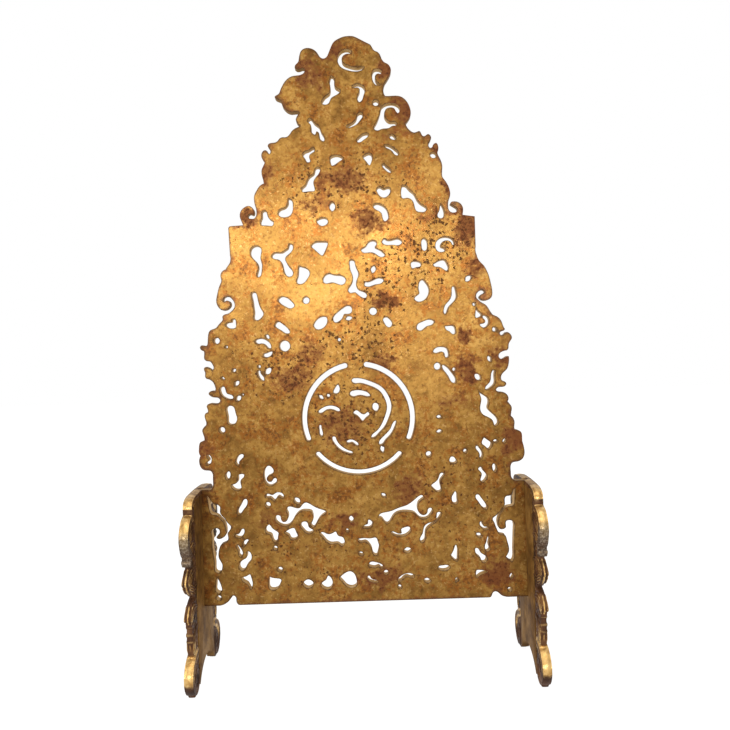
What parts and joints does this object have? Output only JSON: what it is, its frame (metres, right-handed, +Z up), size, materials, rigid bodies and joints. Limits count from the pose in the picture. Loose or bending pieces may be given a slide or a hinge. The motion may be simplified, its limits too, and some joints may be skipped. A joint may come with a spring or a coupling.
{
  "type": "table screen",
  "caption": "Standing table screen of gilt bronze: a pierced openwork panel with a scrolled crest and a round medallion, held upright between scroll-bracket feet.",
  "frame": {"origin": "on the floor, midway between the feet and in the middle of the panel's thickness", "axes": "+X to the viewer's right along the panel, +Y from the viewer through the panel, +Z up"},
  "size_m": [0.2194, 0.0934, 0.4103],
  "materials": {
    "panel": "filed and worn gilt bronze with brown stains",
    "feet": "gilt bronze, bright on the bands and dark in the hollows",
    "pins": "plain"
  },
  "bodies": {
    "root": {"pierced_panel": "panel", "left_post": "feet", "right_post": "feet", "left_front_bracket": "feet", "left_rear_bracket": "feet", "right_front_bracket": "feet", "right_rear_bracket": "feet", "left_front_dowels": "pins", "left_rear_dowels": "pins", "right_front_dowels": "pins", "right_rear_dowels": "pins", "left_panel_pins": "pins", "right_panel_pins": "pins"}
  },
  "joints": []
}
